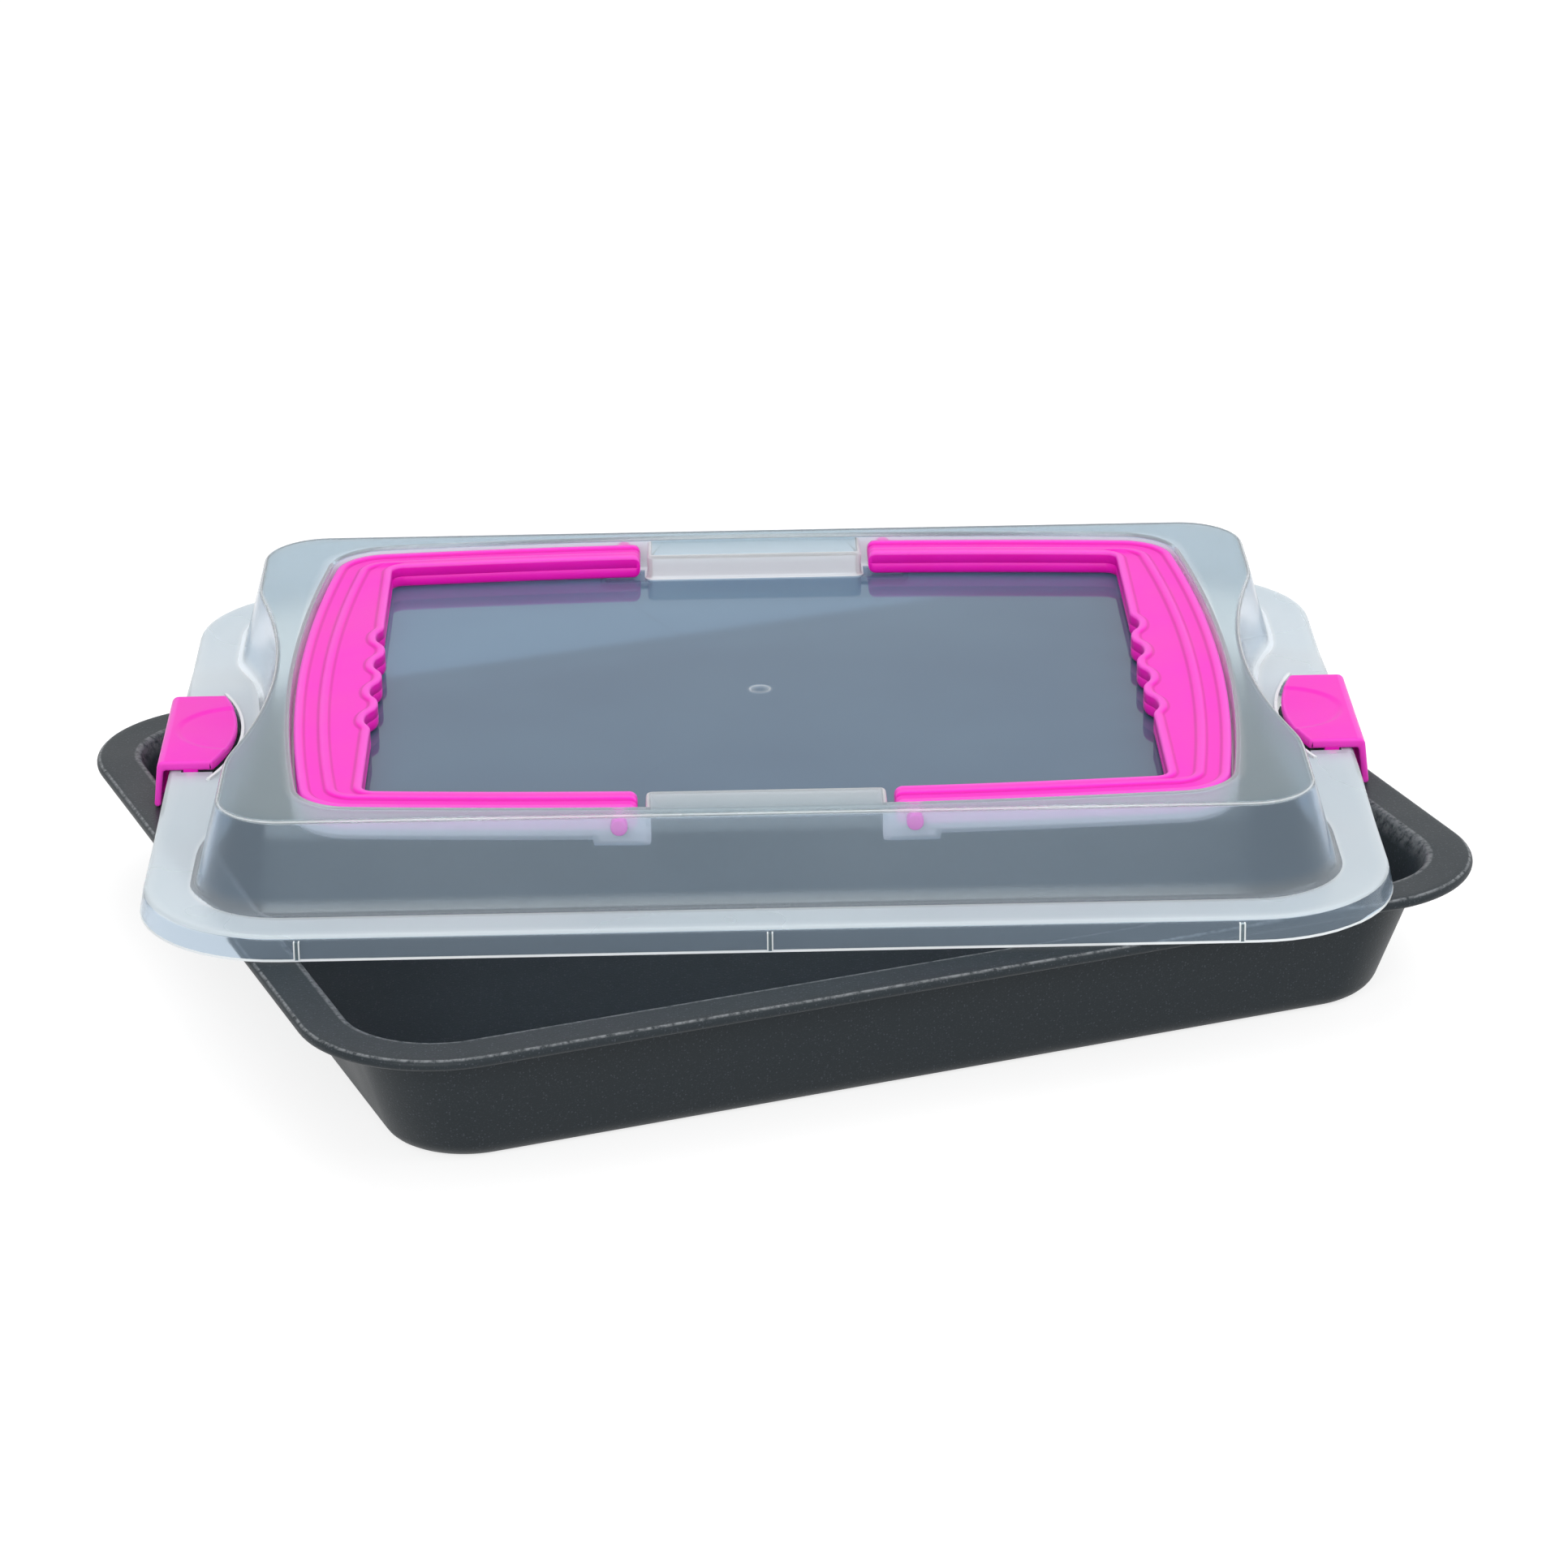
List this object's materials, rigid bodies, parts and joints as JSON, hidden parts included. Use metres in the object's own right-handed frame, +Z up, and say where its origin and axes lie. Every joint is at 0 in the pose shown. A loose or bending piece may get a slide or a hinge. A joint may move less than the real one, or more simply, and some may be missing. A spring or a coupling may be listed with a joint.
{
  "type": "cake pan with lid",
  "caption": "Oblong non-stick cake pan with a rolled rim and a frosted carrying lid that has fold-flat U-shaped handles and rocking end clips; the lid lies askew on the rim.",
  "frame": {"origin": "centre of the flat underside of the pan, where it stands", "axes": "+Z up; +X along the lid's long sides, towards the right-hand clip; +Y away from the camera; the pan is turned 20.3 degrees about Z under the lid"},
  "size_m": [0.44, 0.398, 0.081],
  "materials": {
    "pan_coating": "satin",
    "lid_plastic": "frosted",
    "grip_plastic": "satin"
  },
  "bodies": {
    "base": {"pan": "pan_coating", "lid": "lid_plastic"},
    "left_handle": {"left_handle": "grip_plastic"},
    "right_handle": {"right_handle": "grip_plastic"},
    "left_clip": {"left_clip": "grip_plastic"},
    "right_clip": {"right_clip": "grip_plastic"}
  },
  "joints": [
    {"name": "left_handle_hinge", "type": "hinge", "parent": "base", "child": "left_handle", "pos_m": [-0.0459, 0.033, 0.07575], "axis": [0, 1, 0], "range_deg": [0, 111]},
    {"name": "right_handle_hinge", "type": "hinge", "parent": "base", "child": "right_handle", "pos_m": [0.0439, 0.033, 0.07575], "axis": [0, -1, 0], "range_deg": [0, 111]},
    {"name": "left_clip_hinge", "type": "hinge", "parent": "base", "child": "left_clip", "pos_m": [-0.1845, 0.033, 0.0554], "axis": [0, 1, 0], "range_deg": [0, 10]},
    {"name": "right_clip_hinge", "type": "hinge", "parent": "base", "child": "right_clip", "pos_m": [0.1825, 0.033, 0.0554], "axis": [0, -1, 0], "range_deg": [0, 10]}
  ]
}
